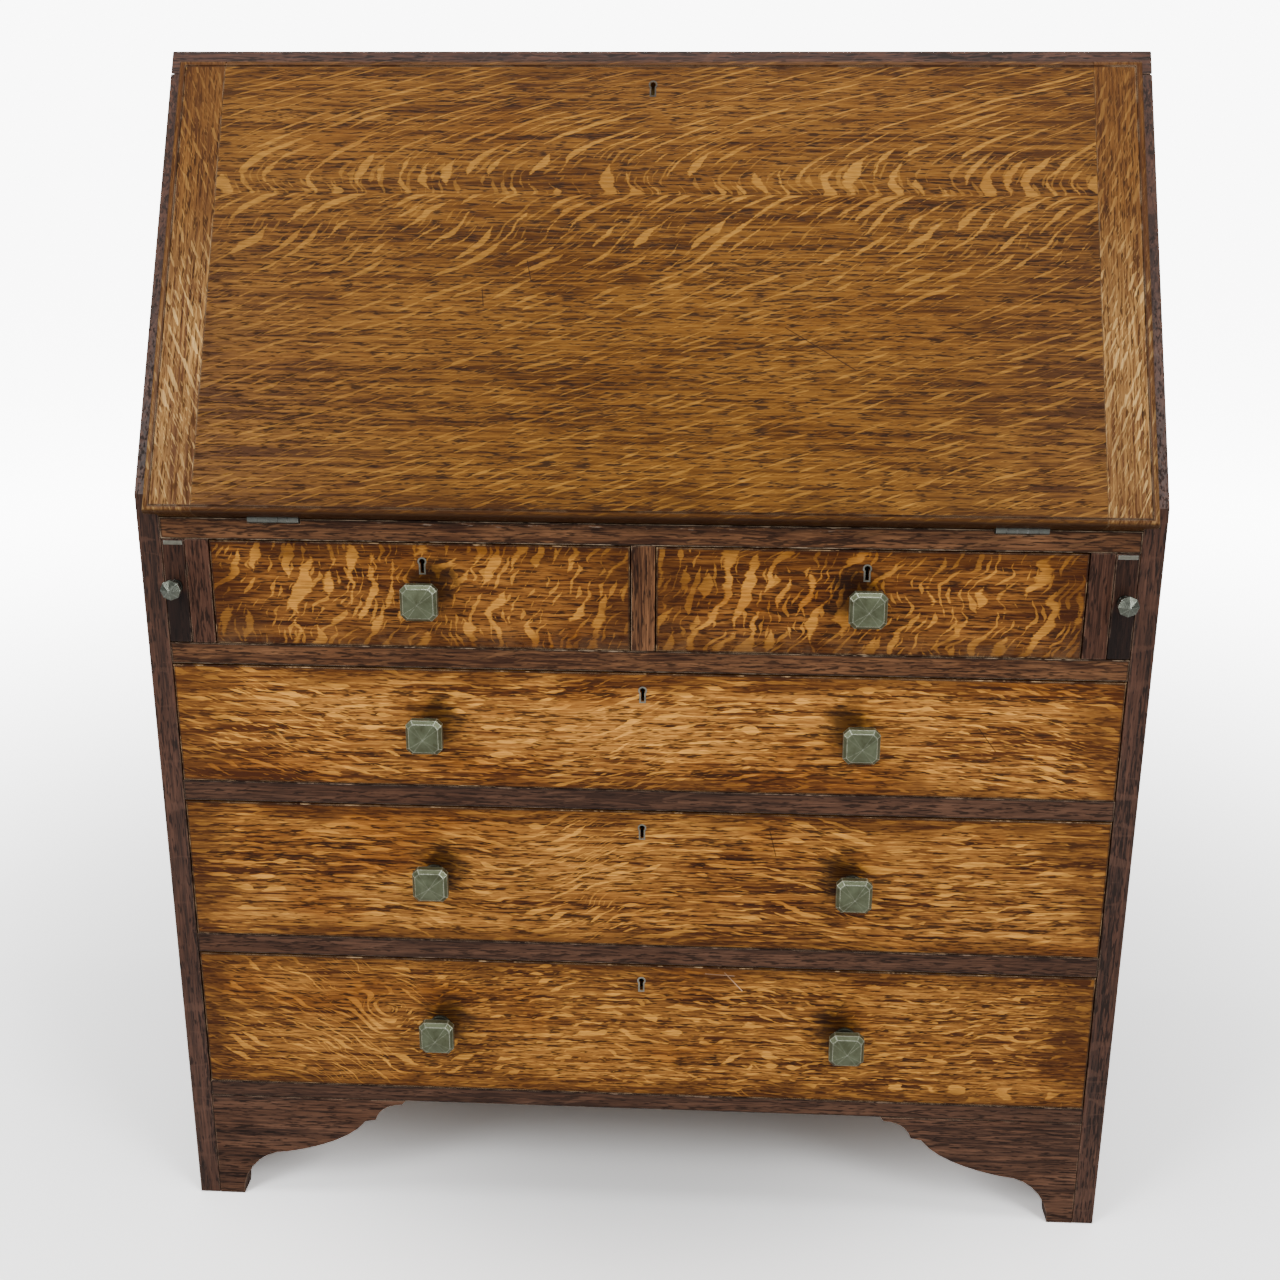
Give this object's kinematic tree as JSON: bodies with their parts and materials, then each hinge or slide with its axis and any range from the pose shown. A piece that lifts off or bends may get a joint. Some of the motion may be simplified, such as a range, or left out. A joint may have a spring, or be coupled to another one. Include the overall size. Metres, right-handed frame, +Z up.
{
  "type": "secretary desk",
  "caption": "Oak fall-front secretary desk: sloping hinged writing lid, sliding lopers, graded drawers with square knobs, ogee bracket feet and a pigeonhole interior.",
  "frame": {"origin": "on the floor, under the middle of the desk's bounding box, knobs included", "axes": "+Z up, -Y out of the drawer fronts, +X to the right of someone facing the desk"},
  "size_m": [0.89, 0.48, 1.0983],
  "materials": {
    "golden_oak": "waxed quarter-sawn oak, golden brown with ray flecks, worn at the arrises",
    "dark_oak": "waxed oak stained nearly black-brown, satin",
    "lining_oak": "dry, unpolished oak",
    "bronze": "bronze dulled to grey-green verdigris",
    "iron": "dark forged iron",
    "brass": "old dull brass"
  },
  "bodies": {
    "carcase": {"side_left": "dark_oak", "side_right": "dark_oak", "top_board": "dark_oak", "back_panel": "lining_oak", "writing_bed": "lining_oak", "hinge_rail": "dark_oak", "upper_rail": "dark_oak", "middle_rail": "dark_oak", "lower_rail": "dark_oak", "bottom_rail": "dark_oak", "loper_divider_left": "dark_oak", "loper_divider_right": "dark_oak", "drawer_divider": "dark_oak", "upper_dust_board": "lining_oak", "middle_dust_board": "lining_oak", "lower_dust_board": "lining_oak", "base_board": "lining_oak", "bracket_left": "dark_oak", "bracket_right": "dark_oak", "pigeonhole_gallery": "dark_oak", "bed_hinge_leaf_left": "iron", "bed_hinge_leaf_right": "iron"},
    "fall": {"fall_panel": "golden_oak", "fall_cleat_left": "golden_oak", "fall_cleat_right": "golden_oak", "fall_hinge_leaf_left": "iron", "fall_hinge_leaf_right": "iron", "fall_lock": "brass"},
    "left_loper": {"loper_left": "dark_oak", "loper_left_knob": "bronze"},
    "right_loper": {"loper_right": "dark_oak", "loper_right_knob": "bronze"},
    "left_small_drawer": {"left_small_drawer_front": "golden_oak", "left_small_drawer_frame": "lining_oak", "left_small_drawer_bottom": "lining_oak", "left_small_drawer_knob": "bronze"},
    "right_small_drawer": {"right_small_drawer_front": "golden_oak", "right_small_drawer_frame": "lining_oak", "right_small_drawer_bottom": "lining_oak", "right_small_drawer_knob": "bronze"},
    "top_drawer": {"top_drawer_front": "golden_oak", "top_drawer_frame": "lining_oak", "top_drawer_bottom": "lining_oak", "top_drawer_knob_left": "bronze", "top_drawer_knob_right": "bronze"},
    "middle_drawer": {"middle_drawer_front": "golden_oak", "middle_drawer_frame": "lining_oak", "middle_drawer_bottom": "lining_oak", "middle_drawer_knob_left": "bronze", "middle_drawer_knob_right": "bronze"},
    "bottom_drawer": {"bottom_drawer_front": "golden_oak", "bottom_drawer_frame": "lining_oak", "bottom_drawer_bottom": "lining_oak", "bottom_drawer_knob_left": "bronze", "bottom_drawer_knob_right": "bronze"},
    "left_inner_tray": {"left_inner_drawer": "golden_oak", "left_inner_drawer_knob": "brass"},
    "right_inner_tray": {"right_inner_drawer": "golden_oak", "right_inner_drawer_knob": "brass"}
  },
  "joints": [
    {"name": "fall_hinge", "type": "hinge", "parent": "carcase", "child": "fall", "pos_m": [0, -0.21, 0.7011], "axis": [1, 0, 0], "range_deg": [0, 116]},
    {"name": "left_loper_slide", "type": "slide", "parent": "carcase", "child": "left_loper", "axis": [0, -1, 0], "range_m": [0, 0.26]},
    {"name": "right_loper_slide", "type": "slide", "parent": "carcase", "child": "right_loper", "axis": [0, -1, 0], "range_m": [0, 0.26]},
    {"name": "left_small_drawer_slide", "type": "slide", "parent": "carcase", "child": "left_small_drawer", "axis": [0, -1, 0], "range_m": [0, 0.32]},
    {"name": "right_small_drawer_slide", "type": "slide", "parent": "carcase", "child": "right_small_drawer", "axis": [0, -1, 0], "range_m": [0, 0.32]},
    {"name": "top_drawer_slide", "type": "slide", "parent": "carcase", "child": "top_drawer", "axis": [0, -1, 0], "range_m": [0, 0.32]},
    {"name": "middle_drawer_slide", "type": "slide", "parent": "carcase", "child": "middle_drawer", "axis": [0, -1, 0], "range_m": [0, 0.32]},
    {"name": "bottom_drawer_slide", "type": "slide", "parent": "carcase", "child": "bottom_drawer", "axis": [0, -1, 0], "range_m": [0, 0.32]},
    {"name": "left_inner_drawer_slide", "type": "slide", "parent": "carcase", "child": "left_inner_tray", "axis": [0, -1, 0], "range_m": [0, 0.14]},
    {"name": "right_inner_drawer_slide", "type": "slide", "parent": "carcase", "child": "right_inner_tray", "axis": [0, -1, 0], "range_m": [0, 0.14]}
  ]
}
